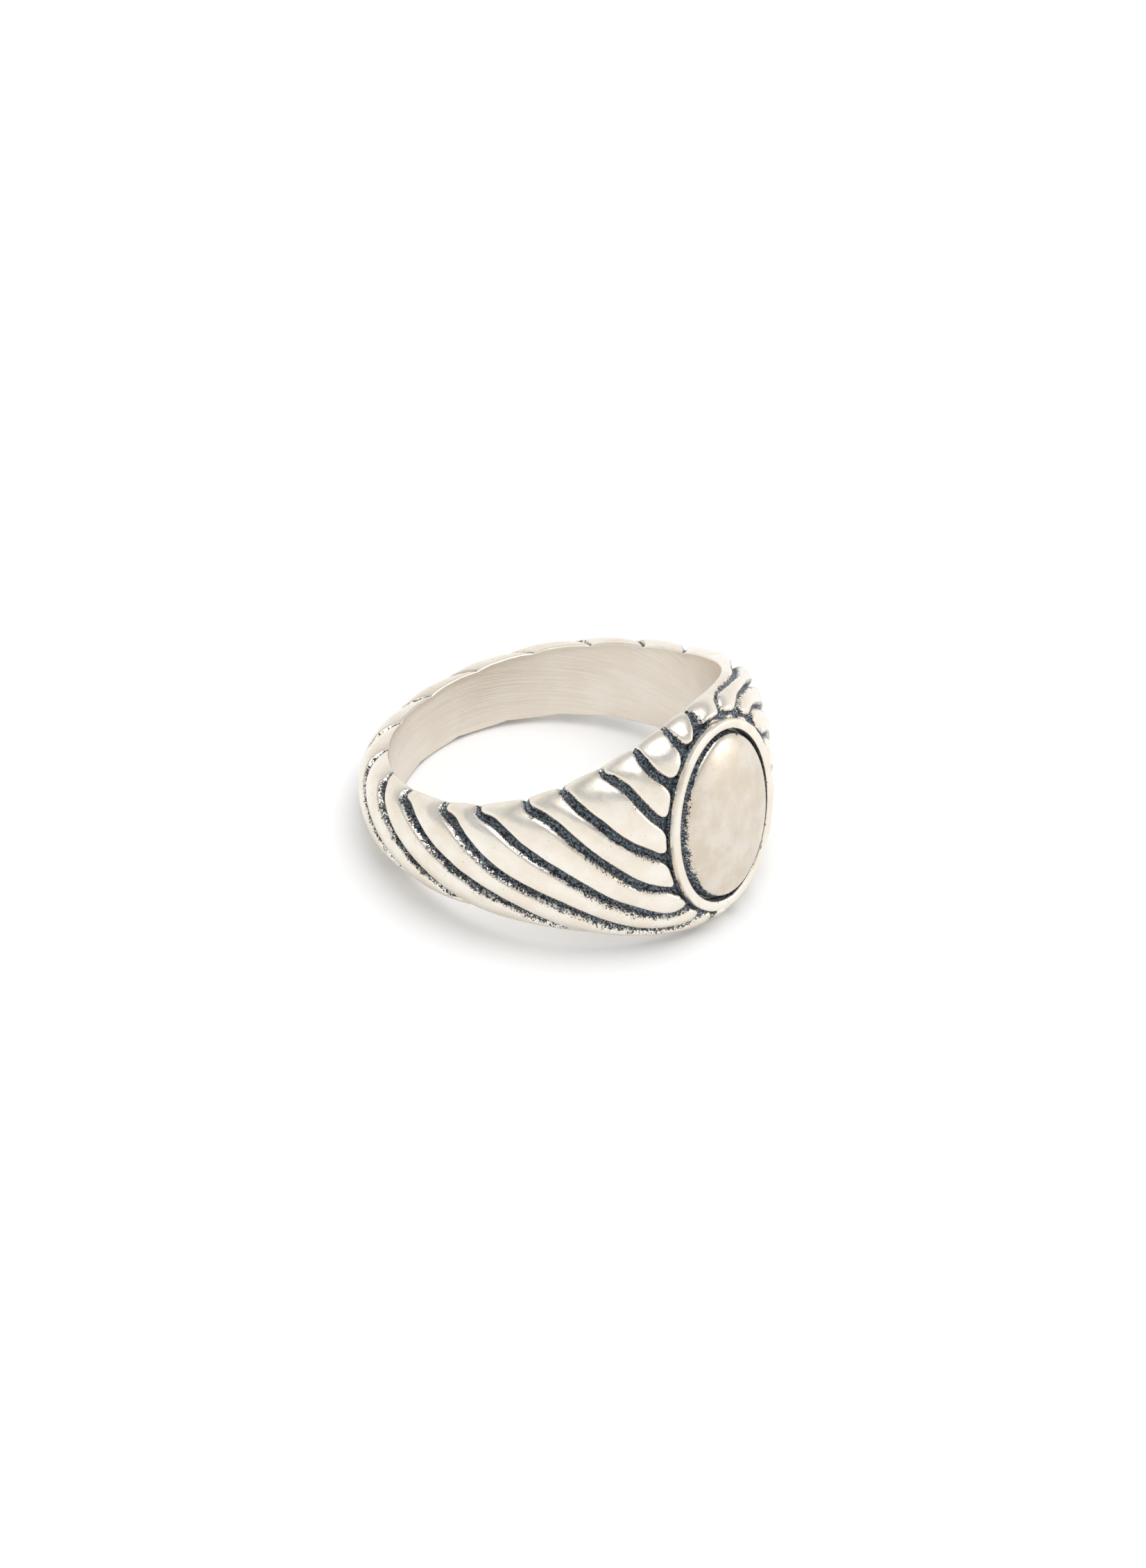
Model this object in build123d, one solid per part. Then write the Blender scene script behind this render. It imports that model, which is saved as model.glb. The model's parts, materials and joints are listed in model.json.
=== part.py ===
from build123d import *
import math
import os

# A signet ring lying at rest on a level surface.
# The ring is drawn about its own finger axis (Z) with the signet facing +X,
# then tipped so that the edge of the head and the edge of the back both touch the surface.
# Origin: centre of the finger bore. Lengths in millimetres, angles in degrees.

# Finger bore
BORE_RADIUS = 9.5  # 19 mm inside diameter, US size 9
BORE_CUTTER_LENGTH = 40.0

# Half width of the band along the finger axis, as a cosine series round the finger
WIDTH_MEAN = 3.55
WIDTH_TAPER = 2.20  # wide at the head, narrow at the back
WIDTH_FLARE = 0.73
WIDTH_CREST = 0.25

# Thickness of the metal at mid width, and the roundness of its cross-section
THICKNESS_BACK = 1.75
THICKNESS_SHOULDER = 2.45
THICKNESS_GROWTH = 0.53
EDGE_POWER_WIDTH = 2.2
EDGE_POWER_DEPTH = 2.75
SECTION_POINTS = 13
SECTION_SWEEP = 88.5  # the curved part of a section stops just short of the bore wall
SECTION_STEP = 12  # degrees round the finger between cross-sections
SECTION_OVERLAP = 1.2  # how far a cross-section reaches inside the bore before it is bored out

# Head: a flat table with an oval seat sunk into it
TABLE_HEIGHT = 10.95
SEAT_FLOOR = 10.45
SOLDER_FILM = 0.05

# Raised oval rim round the signet (half axes across and along the finger)
RIM_HALF_ACROSS = 4.70
RIM_HALF_ALONG = 5.73
RIM_TOP = 11.25
RIM_INNER_ACROSS = 4.04
RIM_INNER_ALONG = 5.04
RIM_ROUNDING = 0.22

# Domed signet plate, just inside the rim
PLATE_GAP = 0.06
PLATE_EDGE = 11.12
PLATE_CROWN = 12.05

# Rest: the head's lower edge and the back's lower edge are level
REST_TILT = 14.1


def half_width(angle):
    """Half width of the band at an angle round the finger, 0 at the signet."""
    a = math.radians(angle)
    return (
        WIDTH_MEAN
        + WIDTH_TAPER * math.cos(a)
        + WIDTH_FLARE * math.cos(2 * a)
        + WIDTH_CREST * math.cos(3 * a)
    )


def thickness(angle):
    """Thickness of the metal at mid width."""
    toward_head = (1 + math.cos(math.radians(angle))) / 2
    growth = THICKNESS_SHOULDER - THICKNESS_BACK
    return THICKNESS_BACK + growth * toward_head**THICKNESS_GROWTH


def outer_radius(angle, share):
    """Radius of the outer surface where share runs from -1 at one edge to 1 at the other."""
    fall = max(0.0, 1 - abs(share) ** EDGE_POWER_WIDTH)
    return BORE_RADIUS + thickness(angle) * fall ** (1 / EDGE_POWER_DEPTH)


def on_ring(angle, radius, z):
    a = math.radians(angle)
    return Vector(radius * math.cos(a), radius * math.sin(a), z)


def band_section(angle):
    """Closed cross-section of the band, reaching a little inside the bore."""
    half = half_width(angle)
    crown = []
    for i in range(SECTION_POINTS):
        phi = math.radians(SECTION_SWEEP * (2 * i / (SECTION_POINTS - 1) - 1))
        share = math.copysign(abs(math.sin(phi)) ** (2 / EDGE_POWER_WIDTH), phi)
        crown.append(on_ring(angle, outer_radius(angle, share), half * share))
    inner = BORE_RADIUS - SECTION_OVERLAP
    low, high = on_ring(angle, inner, crown[0].Z), on_ring(angle, inner, crown[-1].Z)
    sides = [
        Edge.make_line(crown[-1], high),
        Edge.make_line(high, low),
        Edge.make_line(low, crown[0]),
    ]
    return Wire([Edge.make_spline(crown), *sides])


def make_band():
    """Flared, rounded band, bored for the finger and flattened at the head."""
    sections = [band_section(angle) for angle in range(0, 181, SECTION_STEP)]
    half = Solid.make_loft(sections)
    band = half + mirror(half, about=Plane.XZ)
    band -= Cylinder(BORE_RADIUS, BORE_CUTTER_LENGTH)
    above_table = Pos(TABLE_HEIGHT, 0, 0) * Box(
        4, 30, 30, align=(Align.MIN, Align.CENTER, Align.CENTER)
    )
    return band - above_table


def oval_block(across, along, bottom, top):
    """Upright oval block on the head, between two heights above the finger axis."""
    plane = Plane(origin=(bottom, 0, 0), x_dir=(0, 1, 0), z_dir=(1, 0, 0))
    return extrude(plane * Ellipse(across, along), top - bottom)


def make_shank():
    seat = oval_block(RIM_HALF_ACROSS, RIM_HALF_ALONG, SEAT_FLOOR, RIM_TOP)
    return make_band() - seat


def make_rim():
    """Oval collar with a rounded top, standing in the seat on a film of solder."""
    bottom = SEAT_FLOOR + SOLDER_FILM
    outer = oval_block(RIM_HALF_ACROSS, RIM_HALF_ALONG, bottom, RIM_TOP)
    hollow = oval_block(RIM_INNER_ACROSS, RIM_INNER_ALONG, bottom, RIM_TOP)
    collar = outer - hollow
    top_edges = collar.edges().filter_by(lambda e: e.center().X > RIM_TOP - 0.01)
    return fillet(top_edges, RIM_ROUNDING)


def make_plate():
    """Oval plate with a domed face, inside the rim on a film of solder."""
    across, along = RIM_INNER_ACROSS - PLATE_GAP, RIM_INNER_ALONG - PLATE_GAP
    rise = PLATE_CROWN - PLATE_EDGE
    # the dome is a stretched sphere cap through the plate's edge
    cap_radius = (across**2 + rise**2) / (2 * rise)
    ball = Pos(PLATE_CROWN - cap_radius, 0, 0) * Sphere(cap_radius)
    dome = scale(ball, (1, 1, along / across))
    return oval_block(across, along, SEAT_FLOOR + SOLDER_FILM, PLATE_CROWN) & dome


def make_rim_solder():
    outer = oval_block(
        RIM_HALF_ACROSS, RIM_HALF_ALONG, SEAT_FLOOR, SEAT_FLOOR + SOLDER_FILM
    )
    return outer - oval_block(
        RIM_INNER_ACROSS, RIM_INNER_ALONG, SEAT_FLOOR, SEAT_FLOOR + SOLDER_FILM
    )


def make_plate_solder():
    across, along = RIM_INNER_ACROSS - PLATE_GAP, RIM_INNER_ALONG - PLATE_GAP
    return oval_block(across, along, SEAT_FLOOR, SEAT_FLOOR + SOLDER_FILM)


def at_rest(part):
    """Tip the ring from its own axes to the way it lies."""
    return Rot(0, -REST_TILT, 0) * part


PARTS = {
    "shank": make_shank,
    "bezel_rim": make_rim,
    "signet_plate": make_plate,
    "rim_solder": make_rim_solder,
    "plate_solder": make_plate_solder,
}

os.makedirs("parts", exist_ok=True)
for name, make in PARTS.items():
    export_step(at_rest(make()), f"parts/{name}.step")
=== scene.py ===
import json
import math

import bpy
import numpy as np
from mathutils import Matrix, Vector


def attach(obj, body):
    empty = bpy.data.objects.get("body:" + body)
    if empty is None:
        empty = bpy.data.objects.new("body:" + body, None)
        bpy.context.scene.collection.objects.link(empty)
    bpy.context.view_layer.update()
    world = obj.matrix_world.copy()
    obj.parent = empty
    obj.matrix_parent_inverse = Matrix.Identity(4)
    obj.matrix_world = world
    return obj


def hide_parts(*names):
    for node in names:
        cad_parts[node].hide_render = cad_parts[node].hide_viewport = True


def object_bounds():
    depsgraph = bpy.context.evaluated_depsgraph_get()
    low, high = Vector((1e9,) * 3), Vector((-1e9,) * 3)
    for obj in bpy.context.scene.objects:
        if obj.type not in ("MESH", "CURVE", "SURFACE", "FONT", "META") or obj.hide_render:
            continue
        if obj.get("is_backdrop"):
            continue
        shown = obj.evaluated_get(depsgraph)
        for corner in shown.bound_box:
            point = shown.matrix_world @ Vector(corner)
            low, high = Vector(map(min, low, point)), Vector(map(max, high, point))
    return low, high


# A signet ring of oxidised silver, lying at rest. Sizes are in millimetres in the ring's own axes:
# Z along the finger, X out through the signet. to_row() takes them to the frame of the CAD, in metres.

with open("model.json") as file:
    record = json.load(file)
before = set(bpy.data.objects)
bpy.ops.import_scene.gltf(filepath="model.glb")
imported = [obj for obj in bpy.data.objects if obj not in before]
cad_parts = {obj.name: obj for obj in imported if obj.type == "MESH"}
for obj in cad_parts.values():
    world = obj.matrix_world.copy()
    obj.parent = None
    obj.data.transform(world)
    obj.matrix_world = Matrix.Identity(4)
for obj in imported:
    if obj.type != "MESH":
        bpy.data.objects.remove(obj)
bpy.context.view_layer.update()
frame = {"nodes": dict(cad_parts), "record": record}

MM = 0.001
FINGER_AXIS = Vector(frame["record"]["mounts"][0]["axis"])
REST_TILT = math.atan2(-FINGER_AXIS.x, FINGER_AXIS.z)

# Band: the bore, the half width as a cosine series round the finger, and the metal's thickness
BORE_RADIUS = 9.5
WIDTH_SERIES = (3.55, 2.20, 0.73, 0.25)
THICKNESS_BACK = 1.75
THICKNESS_SHOULDER = 2.45
THICKNESS_GROWTH = 0.53
EDGE_POWER_WIDTH = 2.2
EDGE_POWER_DEPTH = 2.75
INNER_EDGE_RADIUS = 0.12
EDGE_LIFT = 0.33  # the upper edge stands this much higher on one shoulder
EDGE_LIFT_ANGLE = -95.0
EDGE_LIFT_REACH = 48.0

# Head: flat table, the seat sunk in it, and the raised oval rim
TABLE_HEIGHT = 11.10
TABLE_SOFTNESS = 0.5
SEAT_FLOOR = 10.42
SEAT_WALL = 0.10
RIM_HALF_ACROSS = 4.70
RIM_HALF_ALONG = 5.73
RIM_INNER_ACROSS = 4.12
RIM_INNER_ALONG = 5.06
RIM_FOOT = 10.50
RIM_TOP = 11.25
RIM_SQUARENESS = 0.8
RIM_ROUNDING = 0.15
RIM_TOP_FULLNESS = 0.8
RIM_TOP_STOPS = 19
RIM_SIDE_STOP = 0.42  # the rim's straight sides have one more stop, this far below its top
RIM_PATINA_DEPTH = 0.54  # patina is full this far below the rim's top, and gone over the fade
RIM_PATINA_FADE = 0.22
RIM_EDGE_CLEAR = 0.80  # how clear the rim's inner edge is, and how soon its top is clean
RIM_EDGE_FADE = 0.30
PLATE_GAP_ACROSS = 0.14
PLATE_GAP_ALONG = 0.08
PLATE_VALLEY = 10.80  # where the plate's sloping flank meets its upright edge
PLATE_SHOULDER = 11.27
PLATE_FLANK_ACROSS = 0.30  # mean width of the flank across and along the finger
PLATE_FLANK_ALONG = 0.10
PLATE_LEAN = 0.10  # the flank is wider on one side and narrower on the other
PLATE_CROWN = 12.05
PLATE_RINGS = 60
PLATE_FLANK_STOPS = (0.0, 0.2, 0.4, 0.6, 0.8)
PLATE_FLANK_CURVE = 0.8
DOME_SQUARENESS = 2.4
DOME_FULLNESS = 0.72
PLATE_EDGE_CLEAR = 0.72  # how clear the dome's edge is of patina, and how soon the dome is clean
PLATE_EDGE_FADE = 0.35
PLATE_RAGGEDNESS = 0.1
OVAL_COLUMNS = 256

# Grid of the band's mesh
COLUMNS = 780
CROWN_ROWS = 112
CROWN_SAMPLES = 721
EDGE_ROWS = 3
HEAD_CROWDING = 0.28
WALL_ROWS = (1.0, 0.5, 0.0, -0.5, -1.0)
WALL_MARGIN = 0.40  # the plain bore wall starts this far in from its edges

# Grooves that cross the whole band, counted from the back of the ring
GROOVES_ROUND = 23
HEAD_BUNCHING = 0.30
GROOVE_LEAN = 30.0
GROOVE_CURL = -4.5
FULL_GROOVES = 9
FULL_GROOVE_STOPS = 81
GROOVE_STEP = 0.06
MM_PER_DEGREE = 0.2  # about how far a degree goes along the outside
GUTTER_STOPS = 240

# Grooves that run into the head, as (degrees round the finger, height); each has a twin on the far side
HEAD_GROOVES = (
    ((-2.8, 6.72), (-4.6, 6.29), (-4.3, 5.67), (-3.5, 5.25)),
    ((-13.9, 6.5), (-13.4, 6.05), (-12.0, 5.42), (-10.8, 4.7)),
    ((-25.8, 6.05), (-25.3, 5.66), (-23.3, 4.88), (-19.2, 4.05), (-16.0, 3.5)),
    ((-38.2, 5.32), (-35.7, 5.12), (-32.8, 4.58), (-30.3, 3.8), (-26.5, 2.58), (-21.0, 1.4)),
    ((-51.5, 4.53), (-49.2, 4.35), (-42.5, 3.04), (-35.5, 1.49), (-28.0, 0.23), (-22.0, -0.5)),
    ((-63.5, 3.85), (-58.2, 3.6), (-53.5, 2.99), (-46.0, 1.32), (-39.5, -0.07), (-32.3, -1.5),
     (-22.0, -2.6)),
    ((-80.0, 3.12), (-72.0, 2.93), (-62.7, 1.63), (-52.0, -0.12), (-41.3, -2.1), (-29.2, -3.8),
     (-23.5, -4.23), (-18.0, -4.1)),
    ((-93.0, 2.74), (-85.0, 2.42), (-72.0, 0.45), (-56.8, -1.61), (-45.5, -3.32), (-34.5, -4.68),
     (-23.0, -5.43), (-17.0, -5.47), (-12.5, -5.05)),
    ((-111.5, 2.42), (-101.2, 2.02), (-84.2, 0.04), (-74.8, -1.15), (-65.2, -2.45), (-56.0, -3.75),
     (-45.0, -4.78), (-33.0, -5.52), (-25.5, -5.97), (-17.0, -6.36), (-10.8, -6.50), (-7.6, -6.26),
     (-7.0, -5.75)),
)

# How the grooves are cut
GROOVE_DEPTH = 0.40
GROOVE_HALF_WIDTH = 0.40
DEPTH_GROWTH = 0.7  # a finer groove is shallower by this power of its width
EDGE_TAPER = (0.55, 1.6)  # a groove starts at this share of its width, and is full this far in
TAIL_TAPER = (0.60, 0.22)  # and narrows to this share over this part of its length
FAR_TAIL_TAPER = (0.42, 0.42)  # the twins on the far side have finer tails
BACK_TAPER = (0.34, 1.5)  # grooves round the back start finer
BACK_SIZE = 0.52  # and are this share of the full width, growing by a step for each one towards the head
BACK_GROWTH = 0.09
STEEP_SIDE = 0.72  # the upper wall of a groove is narrower than the lower one
SLACK_SIDE = 1.12
SIDE_CHANGE = 0.35  # how soon one wall gives way to the other where a groove turns
GUTTER_OFFSET_ACROSS = 0.24
GUTTER_SHIFT = 0.20  # the rim sits a little nearer to one side of the head
GUTTER_OFFSET_ALONG = 0.18
GUTTER_NARROWING = 1.6  # how much narrower the gutter is than a groove
CROWN_HEIGHT = 0.20
CROWN_ROUNDNESS = 2.2
LOBE_REACH = 1.15
TIP_REACH = 0.45  # how far from the gutter the lobes' tips round off
TIP_ROUNDING = 1.3
HAND_WOBBLE = 0.10
WOBBLE_SCALE = 900.0  # cells per metre
WOBBLE_SEED = 3.0
EDGE_OVERRUN = 0.25  # a groove runs on past the band's edge by this
EDGE_CUT = 0.62  # share of the depth left at the bore's edges
EDGE_CUT_REACH = 0.10

# Colours of the finishes
SILVER_PALE = (0.83, 0.785, 0.705, 1)
SILVER_WARM = (0.78, 0.71, 0.605, 1)
PLATE_PALE = (0.69, 0.635, 0.56, 1)
PLATE_WARM = (0.62, 0.54, 0.44, 1)
BORE_PALE = (0.82, 0.765, 0.69, 1)
BORE_WARM = (0.75, 0.68, 0.59, 1)
STAIN = (0.42, 0.35, 0.28, 1)
PATINA_BLUE = (0.15, 0.185, 0.22, 1)
# paler flecks in the patina, painted highlight standing in for glints
PATINA_GLINT_FLECK = (0.30, 0.36, 0.41, 1)
# black of the patina's streaks, also used as painted shade along the patina's border
PATINA_AND_SHADE_BLACK = (0.006, 0.007, 0.009, 1)

# Patterns of the finishes: noise cells per metre, and how fine lines are turned and drawn out
WANDER_SCALE = 420
CRUMB_SCALE = 8500
LUMP_SCALE = 2600
STREAK_SCALE = 7000
MOTTLE_SCALE = 600
SPECK_SCALE = 8000
PIT_SCALE = 5200
SATIN_SCALE = 1600
GRAIN_SCALE = 6000
SCRATCH_SCALE = 520
SCRATCH_TURN = (0.5, 0.4, 0.9)
SCRATCH_STRETCH = (1, 18, 18)
BRUSH_SCALE = 230
BRUSH_STRETCH = (1, 1, 26)
BORE_MOTTLE_SCALE = 330
SOLDER_SCALE = 3000

# Patina: where its border lies, as a share of the groove's width, and what is left of the metal's shine
PATINA_BORDER = (0.64, 0.72)
PATINA_METALLIC = 0.15
PATINA_DULLNESS = 0.30

# Floor, tent and camera, in metres and degrees, with the lens in millimetres
FLOOR_HALF = 0.6
TENT_WALL = (1.10, 1.09, 1.07, 1)
TENT_ROOF = (0.63, 0.65, 0.68, 1)
TENT_TOP = (1.15, 1.15, 1.15, 1)
CAMERA_TURN = -50.71
CAMERA_RISE = 31.10
CAMERA_ROLL = 6.87
CAMERA_DISTANCE = 0.5
CAMERA_LENS = 204.84
CAMERA_SHIFT = (0.00743, -0.00995)


def to_row(points):
    """Points in the ring's own axes, in millimetres, to the CAD's frame in metres."""
    p = np.asarray(points, float)
    c, s = math.cos(REST_TILT), math.sin(REST_TILT)
    return MM * np.stack([c * p[..., 0] - s * p[..., 2], p[..., 1], s * p[..., 0] + c * p[..., 2]], -1)


def half_width(angle):
    """Half width of the band at an angle round the finger, in radians."""
    return sum(size * np.cos(k * angle) for k, size in enumerate(WIDTH_SERIES))


def thickness(angle):
    """Metal between the bore and the middle of the outside, thicker towards the head."""
    toward_head = (1 + np.cos(angle)) / 2
    return THICKNESS_BACK + (THICKNESS_SHOULDER - THICKNESS_BACK) * toward_head**THICKNESS_GROWTH


def soft_min(a, b, reach):
    """The smaller of a and b, with the corner between them rounded over a reach."""
    share = np.clip(0.5 + 0.5 * (b - a) / reach, 0, 1)
    return b + (a - b) * share - reach * share * (1 - share)


def smooth_step(low, high, value):
    """0 below low, 1 above high, and an even curve between them."""
    t = np.clip((value - low) / (high - low), 0, 1)
    return t * t * (3 - 2 * t)


def on_band(angle, radius, z):
    """Place on the band, with the head flattened to its table and one upper edge a little raised."""
    x, y = radius * np.cos(angle), radius * np.sin(angle)
    away = (np.degrees(np.arctan2(np.sin(angle), np.cos(angle))) - EDGE_LIFT_ANGLE) / EDGE_LIFT_REACH
    lift = EDGE_LIFT * np.exp(-away**2) * np.clip(z / half_width(angle), 0, 1)
    return np.stack([soft_min(x, TABLE_HEIGHT, TABLE_SOFTNESS), y, z + lift], -1)


def surface(angle, z):
    """The band's outer surface above an angle and a height."""
    share = np.clip(np.abs(z) / half_width(angle), 0, 1)
    depth = thickness(angle) * (1 - share**EDGE_POWER_WIDTH) ** (1 / EDGE_POWER_DEPTH)
    return on_band(angle, BORE_RADIUS + depth, z)


def outside_oval(y, z, across, along):
    """Distance outside an oval, negative inside, measured from its centre."""
    reach = np.maximum(np.hypot(y, z), 1e-6)
    return reach - reach / np.maximum(np.hypot(y / across, z / along), 1e-6)


def evenly_along(r, z, count):
    """Points spaced evenly along a line."""
    run = np.concatenate([[0], np.cumsum(np.hypot(np.diff(r), np.diff(z)))])
    stops = np.linspace(0, run[-1], count)
    return np.interp(stops, run, r), np.interp(stops, run, z)


def crown_line(angle):
    """The outer side of a cross-section, from its bottom edge to its top edge, as radii and heights."""
    half, metal = half_width(angle), thickness(angle)
    phi = np.linspace(-0.5 * math.pi, 0.5 * math.pi, CROWN_SAMPLES)
    share = np.sign(phi) * np.abs(np.sin(phi)) ** (2 / EDGE_POWER_WIDTH)
    depth = metal * np.abs(np.cos(phi)) ** (2 / EDGE_POWER_DEPTH)
    crown = depth > INNER_EDGE_RADIUS
    return BORE_RADIUS + depth[crown], half * share[crown]


def band_section(angle):
    """One closed cross-section: crown, rounded top edge, bore wall, rounded bottom edge."""
    r, z = evenly_along(*crown_line(angle), CROWN_ROWS)
    edge = INNER_EDGE_RADIUS
    turn = np.arange(1, EDGE_ROWS + 1) * 0.5 * math.pi / EDGE_ROWS
    edge_r = BORE_RADIUS + edge - edge * np.sin(turn)
    edge_z = z[-1] - edge + edge * np.cos(turn)
    wall_z = (edge_z[-1] - WALL_MARGIN) * np.array(WALL_ROWS)
    r = np.concatenate([r, edge_r, np.full(len(wall_z), BORE_RADIUS), edge_r[::-1]])
    z = np.concatenate([z, edge_z, wall_z, -edge_z[::-1]])
    return on_band(angle, r, z)


def grid_faces(columns, rows):
    """Quads of a grid closed both ways."""
    i, j = np.meshgrid(np.arange(columns), np.arange(rows), indexing="ij")
    a, b = i * rows + j, (i + 1) % columns * rows + j
    c, d = (i + 1) % columns * rows + (j + 1) % rows, i * rows + (j + 1) % rows
    return np.stack([a, b, c, d], -1).reshape(-1, 4)


def new_mesh(name, points, faces=(), edges=()):
    """An object with a mesh of its own, linked into the scene."""
    mesh = bpy.data.meshes.new(name)
    mesh.from_pydata(np.asarray(points).tolist(), list(edges), [tuple(face) for face in faces])
    mesh.update()
    piece = bpy.data.objects.new(name, mesh)
    bpy.context.scene.collection.objects.link(piece)
    return piece


def store(piece, name, values, kind="FLOAT"):
    """Keep a value for each point on a piece, for its carving and its finish."""
    layer = piece.data.attributes.new(name, kind, "POINT")
    field = "vector" if kind == "FLOAT_VECTOR" else "value"
    layer.data.foreach_set(field, np.ascontiguousarray(values, np.float32).ravel())


def make_band_blank():
    """The smooth band before the lobes are cut, with the seat sunk and the cutting direction stored."""
    s = np.linspace(0, 2 * math.pi, COLUMNS, endpoint=False)
    angles = s - HEAD_CROWDING * np.sin(s)
    grid = np.stack([band_section(a) for a in angles])
    rows = grid.shape[1]
    outward = np.cross(
        np.roll(grid, -1, 0) - np.roll(grid, 1, 0), np.roll(grid, -1, 1) - np.roll(grid, 1, 1)
    )
    outward /= np.linalg.norm(outward, axis=-1, keepdims=True)
    row = np.arange(rows)
    crown = row < CROWN_ROWS
    top_edge = (row >= CROWN_ROWS) & (row < CROWN_ROWS + EDGE_ROWS)
    bottom_edge = row >= rows - EDGE_ROWS
    outward[:, top_edge] = (0, 0, 1)
    outward[:, bottom_edge] = (0, 0, -1)
    to_edge = np.minimum(row, CROWN_ROWS - 1 - row) / CROWN_ROWS
    cut = np.where(crown, EDGE_CUT + (1 - EDGE_CUT) * smooth_step(0, EDGE_CUT_REACH, to_edge), 0.0)
    cut = np.where(top_edge | bottom_edge, EDGE_CUT, cut)
    cut = np.tile(cut, (COLUMNS, 1))
    beyond = outside_oval(grid[..., 1], grid[..., 2], RIM_HALF_ACROSS, RIM_HALF_ALONG)
    on_head = crown[None, :] & (grid[..., 0] > BORE_RADIUS)
    sunk = np.where(on_head, smooth_step(0, -SEAT_WALL, beyond), 0)
    cut *= 1 - sunk
    grid[..., 0] += sunk * (SEAT_FLOOR - grid[..., 0])
    blank = new_mesh("shank_blank", to_row(grid.reshape(-1, 3)), grid_faces(COLUMNS, rows))
    store(blank, "cut_direction", to_row(outward.reshape(-1, 3)) / MM, "FLOAT_VECTOR")
    store(blank, "cut_share", cut)
    store(blank, "bore_wall", np.tile(np.where(crown, 0.0, 1.0), (COLUMNS, 1)))
    return blank


def smooth_path(stops):
    """A smooth path through a few stops, as closely spaced points."""
    stops = np.asarray(stops, float)
    ends = np.concatenate([[2 * stops[0] - stops[1]], stops, [2 * stops[-1] - stops[-2]]])
    path = []
    for before, start, end, after in zip(ends, ends[1:], ends[2:], ends[3:]):
        length = math.hypot((end[0] - start[0]) * MM_PER_DEGREE, end[1] - start[1])
        for t in np.arange(0, 1, GROOVE_STEP / max(length, GROOVE_STEP)):
            path.append(
                0.5 * (2 * start + (end - before) * t + (2 * before - 5 * start + 4 * end - after) * t**2
                       + (3 * start - before - 3 * end + after) * t**3)
            )
    return np.array(path + [stops[-1]])


def past_edge(path):
    """A path carried on a little way past the band's edge, so that its groove notches the edge."""
    angle, height = path[0]
    return np.concatenate([[(angle, height + EDGE_OVERRUN)], path])


def full_groove(number):
    """A groove from edge to edge; number 0 is at the back of the ring."""
    turn = number * 2 * math.pi / GROOVES_ROUND
    middle = 180 - math.degrees(turn + HEAD_BUNCHING * math.sin(turn))
    path = []
    for share in np.linspace(-1, 1, FULL_GROOVE_STOPS):
        angle = middle - GROOVE_LEAN * share - GROOVE_CURL * share**3
        _, z = evenly_along(*crown_line(math.radians(angle)), FULL_GROOVE_STOPS)
        at = (share + 1) / 2 * (FULL_GROOVE_STOPS - 1)
        path.append((angle, z[round(at)]))
    return np.array(path)


def groove_paths():
    """All grooves as (degrees, height) paths, each with its size and, if it ends at the head, its tail."""
    near = [past_edge(smooth_path(stops)) for stops in HEAD_GROOVES]
    reach = FULL_GROOVES // 2
    whole = [(full_groove(number), BACK_SIZE + BACK_GROWTH * abs(number), None)
             for number in range(-reach, reach + 1)]
    far = [(-path, 1.0, FAR_TAIL_TAPER) for path in near]
    return [(path, 1.0, TAIL_TAPER) for path in near] + far + whole


def groove_widths(line, size, tail):
    """Half width along a groove: it swells from the band's edge and thins towards its other end."""
    run = np.concatenate([[0], np.cumsum(np.linalg.norm(np.diff(line, axis=0), axis=1))])
    start, reach = EDGE_TAPER if tail else BACK_TAPER
    swell = start + (1 - start) * smooth_step(0, reach, run)
    end, share = tail or (start, reach / run[-1])
    thin = end + (1 - end) * smooth_step(0, share * run[-1], run[-1] - run)
    return GROOVE_HALF_WIDTH * size * np.minimum(swell, thin)


def lines_piece(name, lines, widths, closed=False):
    """Lines on the band as a mesh of edges, each point keeping the groove's half width."""
    points, edges, keep = [], [], []
    for line, width in zip(lines, widths):
        first, count = len(points), len(line)
        points += list(to_row(line))
        keep += list(np.broadcast_to(width, count))
        edges += [(first + i, first + i + 1) for i in range(count - 1)]
        if closed:
            edges.append((first + count - 1, first))
    piece = new_mesh(name, points, edges=edges)
    store(piece, "half_width", np.array(keep) * MM)
    return piece


def make_groove_lines():
    """All grooves as lines laid on the band."""
    lines, widths = [], []
    for path, size, tail in groove_paths():
        lines.append(surface(np.radians(path[:, 0]), path[:, 1]))
        widths.append(groove_widths(lines[-1], size, tail))
    return lines_piece("groove_lines", lines, widths)


def make_gutter_line():
    """The gutter round the rim, as an oval on the head's table."""
    around = np.linspace(0, 2 * math.pi, GUTTER_STOPS, endpoint=False)
    y = GUTTER_SHIFT + (RIM_HALF_ACROSS + GUTTER_OFFSET_ACROSS) * np.sin(around)
    z = (RIM_HALF_ALONG + GUTTER_OFFSET_ALONG) * np.cos(around)
    angle = np.arctan2(y, TABLE_HEIGHT)
    for _ in range(6):  # settles on the angle where the surface is y off the middle
        x = surface(angle, z)[:, 0]
        angle = np.arctan2(y, x)
    line = np.stack([x, y, z], -1)
    return lines_piece("gutter_line", [line], [GROOVE_HALF_WIDTH], closed=True)


# ---------- node helpers ----------

def add(tree, kind, **settings):
    node = tree.nodes.new(kind)
    for key, value in settings.items():
        setattr(node, key, value)
    return node


def feed(tree, socket, source):
    """Link a socket, or set a constant on it."""
    if isinstance(source, bpy.types.NodeSocket):
        tree.links.new(source, socket)
    else:
        socket.default_value = source


def math_node(tree, operation, *values):
    node = add(tree, "ShaderNodeMath", operation=operation)
    for socket, value in zip(node.inputs, values):
        feed(tree, socket, value)
    return node.outputs[0]


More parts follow.
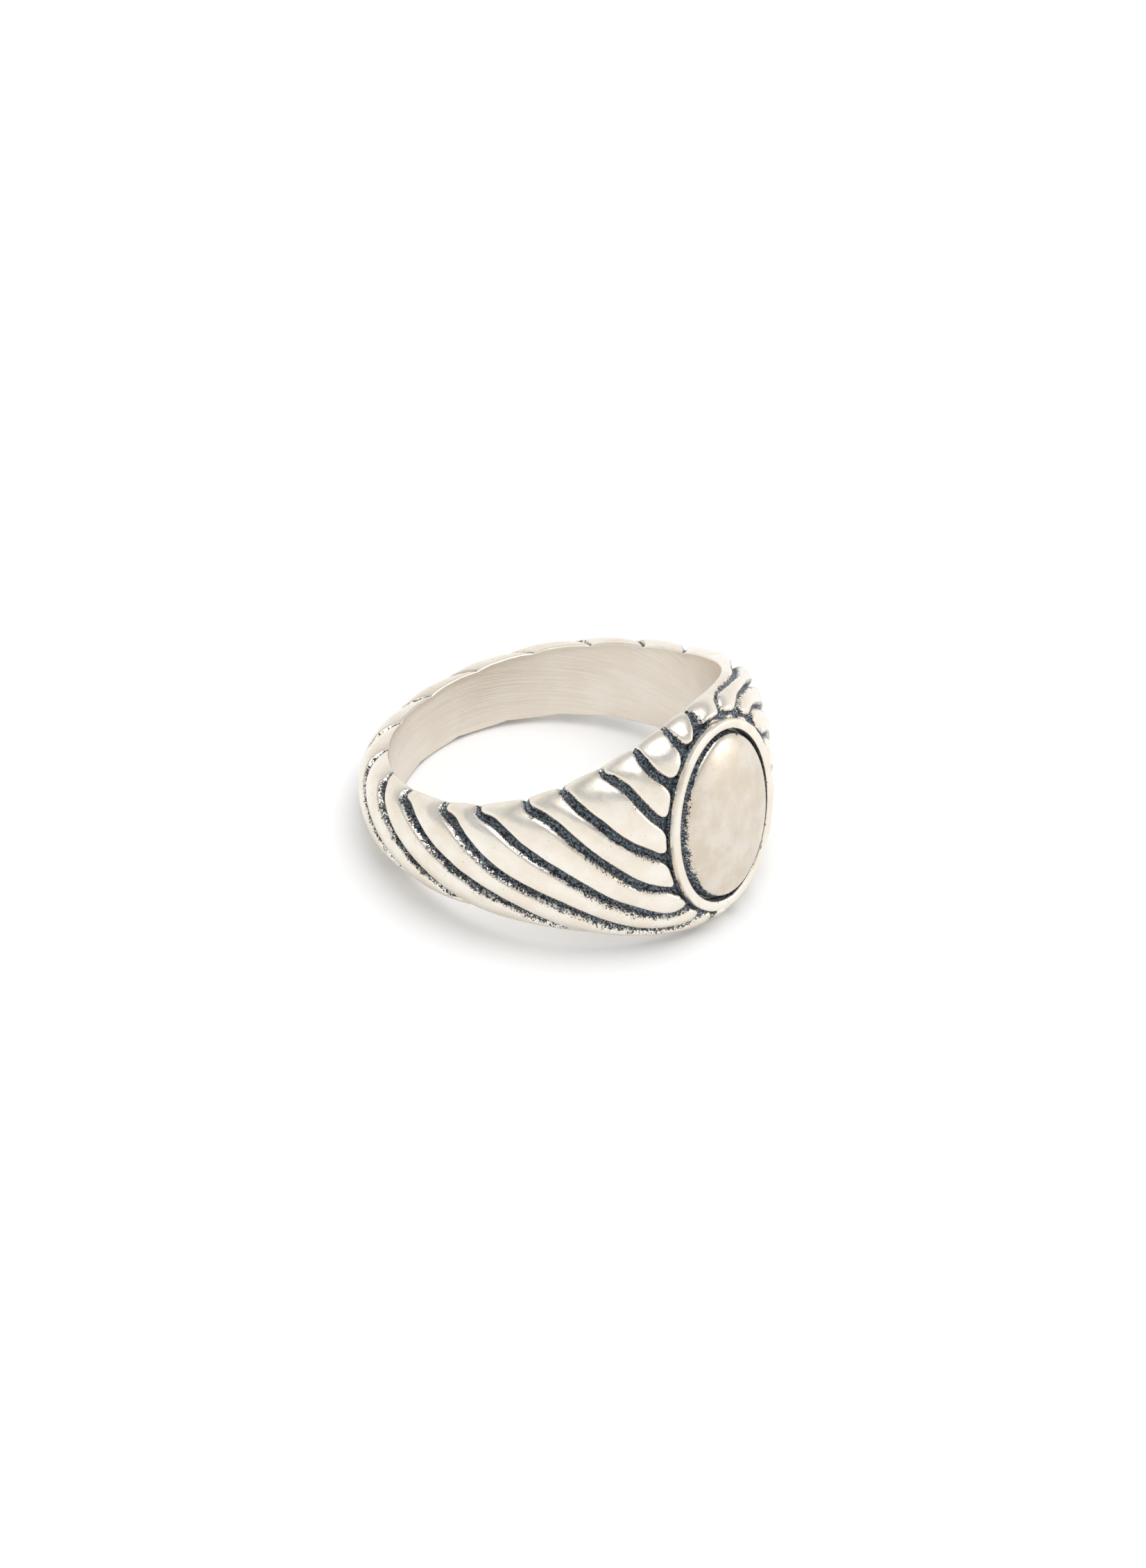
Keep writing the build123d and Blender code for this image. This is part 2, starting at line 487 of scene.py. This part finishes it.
def vector_math(tree, operation, *values, output="Vector"):
    node = add(tree, "ShaderNodeVectorMath", operation=operation)
    sockets = [s for s in node.inputs if s.enabled]
    for socket, value in zip(sockets, values):
        feed(tree, socket, value)
    return node.outputs[output]


def ramp(tree, value, from_min, from_max, to_min=0.0, to_max=1.0, kind="SMOOTHSTEP"):
    node = add(tree, "ShaderNodeMapRange", interpolation_type=kind)
    for name, source in (("Value", value), ("From Min", from_min), ("From Max", from_max),
                         ("To Min", to_min), ("To Max", to_max)):
        feed(tree, node.inputs[name], source)
    return node.outputs[0]


def carve_tree():
    """Geometry nodes that cut the grooves and the gutter into the band and leave rounded lobes."""
    tree = bpy.data.node_groups.new("carve_lobes", "GeometryNodeTree")
    face = tree.interface
    face.new_socket("Band", in_out="INPUT", socket_type="NodeSocketGeometry")
    face.new_socket("Groove Lines", in_out="INPUT", socket_type="NodeSocketObject")
    face.new_socket("Gutter Line", in_out="INPUT", socket_type="NodeSocketObject")
    for name in ("Groove Depth", "Full Half Width", "Depth Growth", "Steep Side", "Slack Side",
                 "Gutter Narrowing", "Crown Height", "Crown Roundness", "Lobe Reach", "Tip Reach",
                 "Tip Rounding", "Hand Wobble", "Wobble Scale", "Seed"):
        face.new_socket(name, in_out="INPUT", socket_type="NodeSocketFloat")
    face.new_socket("Outside Finish", in_out="INPUT", socket_type="NodeSocketMaterial")
    face.new_socket("Bore Finish", in_out="INPUT", socket_type="NodeSocketMaterial")
    face.new_socket("Shank", in_out="OUTPUT", socket_type="NodeSocketGeometry")
    given = add(tree, "NodeGroupInput").outputs
    place = add(tree, "GeometryNodeInputPosition").outputs[0]

    noise = add(tree, "ShaderNodeTexNoise", noise_dimensions="4D")
    feed(tree, noise.inputs["Vector"], place)
    feed(tree, noise.inputs["W"], given["Seed"])
    feed(tree, noise.inputs["Scale"], given["Wobble Scale"])
    noise.inputs["Detail"].default_value = 3.0
    centred = vector_math(tree, "SUBTRACT", noise.outputs["Color"], (0.5, 0.5, 0.5))
    shift = vector_math(tree, "SCALE", centred, given["Hand Wobble"])
    wandering = vector_math(tree, "ADD", place, shift)

    def nearest(name):
        info = add(tree, "GeometryNodeObjectInfo", transform_space="ORIGINAL")
        feed(tree, info.inputs["Object"], given[name])
        lines = info.outputs["Geometry"]
        near = add(tree, "GeometryNodeProximity", target_element="EDGES")
        feed(tree, near.inputs[0], lines)
        feed(tree, near.inputs["Sample Position"], wandering)
        return lines, near.outputs["Distance"], near.outputs["Position"]

    lines, groove, groove_place = nearest("Groove Lines")
    _, gutter, _ = nearest("Gutter Line")
    index = add(tree, "GeometryNodeSampleNearest")
    feed(tree, index.inputs["Geometry"], lines)
    feed(tree, index.inputs["Sample Position"], wandering)
    width_name = add(tree, "GeometryNodeInputNamedAttribute", data_type="FLOAT")
    width_name.inputs["Name"].default_value = "half_width"
    sample = add(tree, "GeometryNodeSampleIndex", data_type="FLOAT", domain="POINT")
    feed(tree, sample.inputs["Geometry"], lines)
    feed(tree, sample.inputs["Value"], width_name.outputs[0])
    feed(tree, sample.inputs["Index"], index.outputs[0])

    # below a groove its wall is slack and the wear is ragged, above it the wall is steep and crisp
    away = vector_math(tree, "NORMALIZE", vector_math(tree, "SUBTRACT", wandering, groove_place))
    height = add(tree, "ShaderNodeSeparateXYZ")
    feed(tree, height.inputs[0], away)
    ragged = ramp(tree, height.outputs[2], -SIDE_CHANGE, SIDE_CHANGE, 1.0, 0.0)
    wall = ramp(tree, ragged, 0.0, 1.0, given["Steep Side"], given["Slack Side"], "LINEAR")
    width = math_node(tree, "MULTIPLY", sample.outputs[0], wall)

    both = add(tree, "ShaderNodeMath", operation="SMOOTH_MIN")
    feed(tree, both.inputs[0], groove)
    feed(tree, both.inputs[1], math_node(tree, "MULTIPLY", gutter, given["Gutter Narrowing"]))
    feed(tree, both.inputs[2], given["Tip Rounding"])
    # how far a point is from the rounded outline of its lobe
    inside = math_node(tree, "MAXIMUM", both.outputs[0], 0.0)

    size = math_node(tree, "DIVIDE", sample.outputs[0], given["Full Half Width"])
    share = math_node(tree, "POWER", size, given["Depth Growth"])
    depth = math_node(tree, "MULTIPLY", share, given["Groove Depth"])
    cut = math_node(tree, "MULTIPLY", ramp(tree, inside, 0.0, width, 1.0, 0.0), depth)
    share = math_node(tree, "MINIMUM", math_node(tree, "DIVIDE", groove, given["Lobe Reach"]),
                      math_node(tree, "DIVIDE", gutter, given["Tip Reach"]))
    share = math_node(tree, "MINIMUM", share, 1.0)
    fall = math_node(tree, "POWER", math_node(tree, "SUBTRACT", 1.0, share), given["Crown Roundness"])
    depth = math_node(tree, "ADD", cut, math_node(tree, "MULTIPLY", fall, given["Crown Height"]))

    allowed = add(tree, "GeometryNodeInputNamedAttribute", data_type="FLOAT")
    allowed.inputs["Name"].default_value = "cut_share"
    direction = add(tree, "GeometryNodeInputNamedAttribute", data_type="FLOAT_VECTOR")
    direction.inputs["Name"].default_value = "cut_direction"
    amount = math_node(tree, "MULTIPLY", math_node(tree, "MULTIPLY", depth, allowed.outputs[0]), -1.0)
    offset = vector_math(tree, "SCALE", direction.outputs[0], amount)

    geometry = given["Band"]
    near = math_node(tree, "DIVIDE", inside, width)
    for name, value in (("clear_of_groove", near), ("ragged_side", ragged)):
        keep = add(tree, "GeometryNodeStoreNamedAttribute", data_type="FLOAT", domain="POINT")
        feed(tree, keep.inputs["Geometry"], geometry)
        keep.inputs["Name"].default_value = name
        feed(tree, keep.inputs["Value"], value)
        geometry = keep.outputs[0]
    move = add(tree, "GeometryNodeSetPosition")
    feed(tree, move.inputs["Geometry"], geometry)
    feed(tree, move.inputs["Offset"], offset)
    smooth = add(tree, "GeometryNodeSetShadeSmooth")
    feed(tree, smooth.inputs["Geometry"], move.outputs[0])
    real = add(tree, "GeometryNodeRealizeInstances")
    feed(tree, real.inputs[0], smooth.outputs[0])
    outside = add(tree, "GeometryNodeSetMaterial")
    feed(tree, outside.inputs["Geometry"], real.outputs[0])
    feed(tree, outside.inputs["Material"], given["Outside Finish"])
    wall = add(tree, "GeometryNodeInputNamedAttribute", data_type="FLOAT")
    wall.inputs["Name"].default_value = "bore_wall"
    inner = add(tree, "GeometryNodeSetMaterial")
    feed(tree, inner.inputs["Geometry"], outside.outputs[0])
    feed(tree, inner.inputs["Selection"], math_node(tree, "GREATER_THAN", wall.outputs[0], 0.99))
    feed(tree, inner.inputs["Material"], given["Bore Finish"])
    out = add(tree, "NodeGroupOutput")
    feed(tree, out.inputs[0], inner.outputs[0])
    return tree


def run_tree(piece, tree, values):
    """Run a geometry tree on a piece with named values, and return the result as a plain mesh."""
    modifier = piece.modifiers.new(tree.name, "NODES")
    modifier.node_group = tree
    sockets = {s.name: s.identifier for s in tree.interface.items_tree if s.in_out == "INPUT"}
    for name, value in values.items():
        modifier[sockets[name]] = value
    bpy.context.view_layer.update()
    graph = bpy.context.evaluated_depsgraph_get()
    return bpy.data.meshes.new_from_object(piece.evaluated_get(graph))


# ---------- finishes ----------

def new_finish(name):
    material = bpy.data.materials.new(name)
    material.use_nodes = True
    tree = material.node_tree
    shader = tree.nodes["Principled BSDF"]
    return material, tree, shader


def object_place(tree):
    return add(tree, "ShaderNodeTexCoord").outputs["Object"]


def noise_at(tree, vector, scale, detail=3.0, roughness=0.55):
    noise = add(tree, "ShaderNodeTexNoise")
    feed(tree, noise.inputs["Vector"], vector)
    noise.inputs["Scale"].default_value = scale
    noise.inputs["Detail"].default_value = detail
    noise.inputs["Roughness"].default_value = roughness
    return noise.outputs[0]


def blend_colour(tree, share, low, high):
    mix = add(tree, "ShaderNodeMix", data_type="RGBA")
    feed(tree, mix.inputs[0], share)
    feed(tree, mix.inputs[6], low)
    feed(tree, mix.inputs[7], high)
    return mix.outputs[2]


def attribute(tree, name):
    return add(tree, "ShaderNodeAttribute", attribute_name=name).outputs["Fac"]


def fine_bump(tree, shader, height, strength, depth):
    bump = add(tree, "ShaderNodeBump")
    bump.inputs["Strength"].default_value = strength
    bump.inputs["Distance"].default_value = depth * MM
    feed(tree, bump.inputs["Height"], height)
    feed(tree, shader.inputs["Normal"], bump.outputs[0])


def one_way_lines(tree, place, turn, stretch, *noise):
    """Fine lines that run one way: a noise turned and drawn out."""
    mapping = add(tree, "ShaderNodeMapping")
    feed(tree, mapping.inputs["Vector"], place)
    mapping.inputs["Rotation"].default_value = turn
    mapping.inputs["Scale"].default_value = stretch
    return noise_at(tree, mapping.outputs[0], *noise)


def crumbling(tree, place, clear, side):
    """How clear a point is of its groove with the patina's crumbs counted in, and how ragged it is there."""
    wander = ramp(tree, noise_at(tree, place, WANDER_SCALE, 1.0), 0.40, 0.60, -0.6, 0.6)
    clamp = add(tree, "ShaderNodeClamp")
    feed(tree, clamp.inputs[0], math_node(tree, "ADD", side, wander))
    ragged = clamp.outputs[0]
    crumbs = math_node(tree, "SUBTRACT", noise_at(tree, place, CRUMB_SCALE, 2.5, 0.7), 0.5)
    lumps = math_node(tree, "SUBTRACT", noise_at(tree, place, LUMP_SCALE, 2.0), 0.5)
    crumble = math_node(tree, "MULTIPLY", crumbs, ramp(tree, ragged, 0, 1, 0.25, 2.5, "LINEAR"))
    drift = math_node(tree, "MULTIPLY", lumps, ramp(tree, ragged, 0, 1, 0.25, 1.1, "LINEAR"))
    return math_node(tree, "ADD", clear, math_node(tree, "ADD", crumble, drift)), ragged


def patina_with_painted_light_colour(tree, place, worn):
    """Blue-black patina within a groove, blacker towards its border, with paler flecks; the border's black
    is partly thicker patina and partly painted shade of the groove's walls, and the flecks are painted
    glints.
    """
    streaks = noise_at(tree, place, STREAK_SCALE, 3.0, 0.7)
    # painted shade: the patina blackens towards the groove's border, partly for thicker patina and partly
    # for the shade of the groove's walls
    patina_and_shade_fringe = ramp(tree, worn, 0.30, 0.62, 0.0, 0.13)
    blue = ramp(tree, math_node(tree, "SUBTRACT", streaks, patina_and_shade_fringe), 0.42, 0.53)
    patina = blend_colour(tree, blue, PATINA_AND_SHADE_BLACK, PATINA_BLUE)
    # painted highlight: paler flecks scattered in the patina stand in for glints
    return blend_colour(tree, ramp(tree, streaks, 0.56, 0.63), patina, PATINA_GLINT_FLECK)


def silver_colour(tree, place, clear, ragged, pale, warm):
    """Mottled silver, stained brown next to the crumbling patina and in small pits."""
    mottle = noise_at(tree, place, MOTTLE_SCALE, 5.0, 0.6)
    silver = blend_colour(tree, ramp(tree, mottle, 0.35, 0.65), pale, warm)
    halo = math_node(tree, "MULTIPLY", ramp(tree, clear, 0.7, 2.0, 0.55, 0.0), ragged)
    specks = ramp(tree, noise_at(tree, place, SPECK_SCALE, 6.0, 0.75), 0.52, 0.66)
    silver = blend_colour(tree, math_node(tree, "MULTIPLY", halo, specks), silver, STAIN)
    pits = ramp(tree, noise_at(tree, place, PIT_SCALE, 2.0, 0.5), 0.70, 0.76, 0.0, 0.6)
    return blend_colour(tree, pits, silver, STAIN)


def oxidised_silver(name, smoothest, roughest, pale=SILVER_PALE, warm=SILVER_WARM):
    """Polished silver with blue-black patina left in its grooves."""
    material, tree, shader = new_finish(name)
    place = object_place(tree)
    clear = attribute(tree, "clear_of_groove")
    worn, ragged = crumbling(tree, place, clear, attribute(tree, "ragged_side"))
    dark = ramp(tree, worn, *PATINA_BORDER, 1.0, 0.0)
    silver = silver_colour(tree, place, clear, ragged, pale, warm)
    # patina colour, with painted shade blackening its border and painted glints in its paler flecks
    patina = patina_with_painted_light_colour(tree, place, worn)
    feed(tree, shader.inputs["Base Color"], blend_colour(tree, dark, silver, patina))
    feed(tree, shader.inputs["Metallic"], ramp(tree, dark, 0, 1, 1.0, PATINA_METALLIC, "LINEAR"))

    # satin all over, brighter where a lobe's edge was rubbed, dull in the patina
    satin = ramp(tree, noise_at(tree, place, SATIN_SCALE, 4.0), 0.3, 0.7, smoothest, roughest, "LINEAR")
    rubbed = math_node(tree, "ADD", satin, ramp(tree, clear, 0.9, 1.7, -0.10, 0.0))
    dulled = math_node(tree, "MULTIPLY", dark, PATINA_DULLNESS)
    feed(tree, shader.inputs["Roughness"], math_node(tree, "ADD", rubbed, dulled))
    scratches = one_way_lines(tree, place, SCRATCH_TURN, SCRATCH_STRETCH, SCRATCH_SCALE, 3.0, 0.6)
    grain = math_node(tree, "ADD", noise_at(tree, place, GRAIN_SCALE, 5.0, 0.7), scratches)
    fine_bump(tree, shader, grain, 0.30, 0.022)
    return material


def brushed_bore():
    """Satin wall, brushed round the finger."""
    material, tree, shader = new_finish("brushed_bore_silver")
    place = object_place(tree)
    lines = one_way_lines(tree, place, (0, REST_TILT, 0), BRUSH_STRETCH, BRUSH_SCALE, 5.0, 0.7)
    mottle = ramp(tree, noise_at(tree, place, BORE_MOTTLE_SCALE, 4.0), 0.3, 0.7, 0.0, 0.6)
    tint = math_node(tree, "ADD", mottle, ramp(tree, lines, 0.35, 0.65, 0.0, 0.4))
    feed(tree, shader.inputs["Base Color"], blend_colour(tree, tint, BORE_PALE, BORE_WARM))
    shader.inputs["Metallic"].default_value = 1.0
    feed(tree, shader.inputs["Roughness"], ramp(tree, lines, 0.3, 0.7, 0.28, 0.44, "LINEAR"))
    fine_bump(tree, shader, lines, 0.5, 0.05)
    return material


def solder_silver():
    """Dull grey solder, tarnished in patches."""
    material, tree, shader = new_finish("solder_silver")
    tarnish = noise_at(tree, object_place(tree), SOLDER_SCALE)
    feed(tree, shader.inputs["Base Color"], blend_colour(tree, tarnish, PATINA_BLUE, SILVER_WARM))
    shader.inputs["Metallic"].default_value = 1.0
    shader.inputs["Roughness"].default_value = 0.5
    return material


# ---------- pieces ----------

def finish_piece(name, mesh, node):
    """A finished piece that rides on the ring's one body and stands in for a CAD node."""
    piece = bpy.data.objects.new(name, mesh)
    bpy.context.scene.collection.objects.link(piece)
    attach(piece, "root")
    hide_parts(node)


def take_mesh(name, shape, finish, node):
    """Turn a working shape into a finished piece with one finish."""
    mesh = shape.data
    bpy.data.objects.remove(shape)
    mesh.shade_smooth()
    mesh.materials.append(finish)
    finish_piece(name, mesh, node)


def make_shank(outside, bore):
    """The band with its lobes cut, its head and its seat."""
    blank, grooves, gutter = make_band_blank(), make_groove_lines(), make_gutter_line()
    mesh = run_tree(blank, carve_tree(), {
        "Groove Lines": grooves,
        "Gutter Line": gutter,
        "Groove Depth": GROOVE_DEPTH * MM,
        "Full Half Width": GROOVE_HALF_WIDTH * MM,
        "Depth Growth": DEPTH_GROWTH,
        "Steep Side": STEEP_SIDE,
        "Slack Side": SLACK_SIDE,
        "Gutter Narrowing": GUTTER_NARROWING,
        "Crown Height": CROWN_HEIGHT * MM,
        "Crown Roundness": CROWN_ROUNDNESS,
        "Lobe Reach": LOBE_REACH * MM,
        "Tip Reach": TIP_REACH * MM,
        "Tip Rounding": TIP_ROUNDING * MM,
        "Hand Wobble": HAND_WOBBLE * MM,
        "Wobble Scale": WOBBLE_SCALE,
        "Seed": WOBBLE_SEED,
        "Outside Finish": outside,
        "Bore Finish": bore,
    })
    for helper in (blank, grooves, gutter):
        bpy.data.objects.remove(helper)
    mesh.name = "ring_shank"
    finish_piece("ring_shank", mesh, "shank")


def oval_ring(across, along, height):
    """Points round an oval level with the head's table."""
    around = np.linspace(0, 2 * math.pi, OVAL_COLUMNS, endpoint=False)
    return np.stack([np.full(OVAL_COLUMNS, height), across * np.sin(around), along * np.cos(around)], -1)


def rim_clearance(inset, height, width):
    """The patina thins out up the rim's sides and crumbles over its inner edge."""
    up_side = (height - (RIM_TOP - RIM_PATINA_DEPTH)) / RIM_PATINA_FADE
    return np.minimum(up_side, RIM_EDGE_CLEAR + (width - inset) / RIM_EDGE_FADE)


def make_rim(finish):
    """Collar with a softly rounded top; its foot and sides stay dark."""
    width = RIM_HALF_ACROSS - RIM_INNER_ACROSS
    side_stop = RIM_TOP - RIM_SIDE_STOP
    profile = [(0.0, RIM_FOOT), (0.0, side_stop)]
    for turn in np.radians(np.linspace(0, 180, RIM_TOP_STOPS)):
        side = math.copysign(abs(math.cos(turn)) ** RIM_SQUARENESS, math.cos(turn))
        drop = RIM_ROUNDING * (1 - math.sin(turn) ** RIM_TOP_FULLNESS)
        profile.append((width / 2 * (1 - side), RIM_TOP - drop))
    profile += [(width, side_stop), (width, RIM_FOOT)]
    rings = [oval_ring(RIM_HALF_ACROSS - inset, RIM_HALF_ALONG - inset, height)
             for inset, height in profile]
    grid = np.stack(rings, 1)
    piece = new_mesh("rim_shape", to_row(grid.reshape(-1, 3)), grid_faces(*grid.shape[:2])[:, ::-1])
    inset, height = np.tile(np.array(profile), (OVAL_COLUMNS, 1)).T
    store(piece, "clear_of_groove", rim_clearance(inset, height, width))
    store(piece, "ragged_side", smooth_step(0.3 * width, 0.7 * width, inset))
    take_mesh("oval_rim", piece, finish, "bezel_rim")


def make_plate(finish):
    """Domed plate: an upright edge, a sloping dark flank and a crowned face.

    Each level is a half axis across, a half axis along, a height and how clear it is of patina.
    """
    across, along = RIM_INNER_ACROSS - PLATE_GAP_ACROSS, RIM_INNER_ALONG - PLATE_GAP_ALONG
    top_across, top_along = across - PLATE_FLANK_ACROSS, along - PLATE_FLANK_ALONG
    levels = [(across, along, RIM_FOOT, 0.0)]
    for t in PLATE_FLANK_STOPS:
        height = PLATE_VALLEY + (PLATE_SHOULDER - PLATE_VALLEY) * t**PLATE_FLANK_CURVE
        clear = PLATE_EDGE_CLEAR * t
        levels.append((across - PLATE_FLANK_ACROSS * t, along - PLATE_FLANK_ALONG * t, height, clear))
    for share in 1 - np.linspace(0, 1, PLATE_RINGS, endpoint=False):
        rise = (PLATE_CROWN - PLATE_SHOULDER) * (1 - share**DOME_SQUARENESS) ** DOME_FULLNESS
        clear = PLATE_EDGE_CLEAR + (1 - share) * top_across / PLATE_EDGE_FADE
        levels.append((top_across * share, top_along * share, PLATE_SHOULDER + rise, clear))
    rings = [oval_ring(*level[:3]) for level in levels]
    for ring, level in zip(rings, levels):
        ring[:, 1] += PLATE_LEAN * min(1, (across - level[0]) / PLATE_FLANK_ACROSS)
    points = np.concatenate(rings + [[(PLATE_CROWN, PLATE_LEAN, 0), (RIM_FOOT, 0, 0)]])
    crown, foot, count = len(points) - 2, len(points) - 1, OVAL_COLUMNS
    faces = []
    for i in range(count):
        n = (i + 1) % count
        faces += [(j + i, j + count + i, j + count + n, j + n) for j in range(0, crown - count, count)]
        faces += [(crown - count + i, crown, crown - count + n), (i, n, foot)]
    piece = new_mesh("plate_shape", to_row(points), faces)
    clear = np.repeat([level[3] for level in levels], count)
    store(piece, "clear_of_groove", np.append(clear, (clear[-1], 0)))
    store(piece, "ragged_side", np.full(len(points), PLATE_RAGGEDNESS))
    take_mesh("domed_plate", piece, finish, "signet_plate")


# ---------- floor, light and camera ----------

def make_floor(height):
    """Plain white floor."""
    corners = [(FLOOR_HALF * x, FLOOR_HALF * y, height) for x, y in ((-1, -1), (1, -1), (1, 1), (-1, 1))]
    floor = new_mesh("floor", corners, [(0, 1, 2, 3)])
    material, _, shader = new_finish("white_floor")
    shader.inputs["Base Color"].default_value = (0.98, 0.98, 0.98, 1)
    shader.inputs["Roughness"].default_value = 0.9
    shader.inputs["Specular IOR Level"].default_value = 0.1
    floor.data.materials.append(material)
    floor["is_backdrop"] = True


def soft_box(name, place, size, power):
    """Oval soft box aimed at the ring."""
    light = bpy.data.lights.new(name, "AREA")
    light.shape = "ELLIPSE"
    light.size, light.size_y = size
    light.energy = power
    lamp = bpy.data.objects.new(name, light)
    bpy.context.scene.collection.objects.link(lamp)
    lamp.location = place
    lamp.rotation_euler = (-Vector(place)).to_track_quat("-Z", "Y").to_euler()


def make_camera():
    """Camera half a metre off, above and to one side of the signet."""
    turn, rise, roll = (math.radians(angle) for angle in (CAMERA_TURN, CAMERA_RISE, CAMERA_ROLL))
    back = Vector((math.cos(rise) * math.cos(turn), math.cos(rise) * math.sin(turn), math.sin(rise)))
    right = Vector((-math.sin(turn), math.cos(turn), 0))
    up = back.cross(right)
    camera_right = math.cos(roll) * right - math.sin(roll) * up
    camera_up = math.sin(roll) * right + math.cos(roll) * up
    rest = Matrix.Rotation(-REST_TILT, 3, "Y")
    axes = Matrix([rest @ camera_right, rest @ camera_up, rest @ back]).transposed()
    camera = bpy.data.objects.new("camera", bpy.data.cameras.new("camera"))
    camera.data.lens = CAMERA_LENS
    camera.data.sensor_width = 36
    camera.data.shift_x, camera.data.shift_y = CAMERA_SHIFT
    camera.data.clip_start = 0.01
    camera.matrix_world = Matrix.Translation(rest @ back * CAMERA_DISTANCE) @ axes.to_4x4()
    bpy.context.scene.collection.objects.link(camera)
    bpy.context.scene.camera = camera


def make_tent():
    """White tent: bright walls, a dimmer band above them and a light roof."""
    world = bpy.data.worlds.new("white_tent")
    bpy.context.scene.world = world
    world.use_nodes = True
    tree = world.node_tree
    direction = add(tree, "ShaderNodeTexCoord").outputs["Generated"]
    height = add(tree, "ShaderNodeSeparateXYZ")
    feed(tree, height.inputs[0], direction)
    sides = blend_colour(tree, ramp(tree, height.outputs[2], 0.35, 0.6), TENT_WALL, TENT_ROOF)
    whole = blend_colour(tree, ramp(tree, height.outputs[2], 0.72, 0.92), sides, TENT_TOP)
    feed(tree, tree.nodes["Background"].inputs[0], whole)


# ---------- the ring on its floor ----------

make_shank(oxidised_silver("oxidised_silver", smoothest=0.20, roughest=0.34), brushed_bore())
make_rim(oxidised_silver("oxidised_rim_silver", smoothest=0.28, roughest=0.38))
make_plate(oxidised_silver("satin_plate_silver", 0.30, 0.40, PLATE_PALE, PLATE_WARM))
solder = solder_silver()
for seam in ("rim_solder", "plate_solder"):
    frame["nodes"][seam].data.materials.clear()
    frame["nodes"][seam].data.materials.append(solder)

make_floor(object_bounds()[0][2])
make_tent()
soft_box("overhead_box", place=(0.06, 0.02, 0.34), size=(0.34, 0.34), power=0.44)
soft_box("side_box", place=(0.28, 0.24, 0.07), size=(0.16, 0.10), power=0.10)
make_camera()
bpy.context.scene.view_settings.view_transform = "Standard"
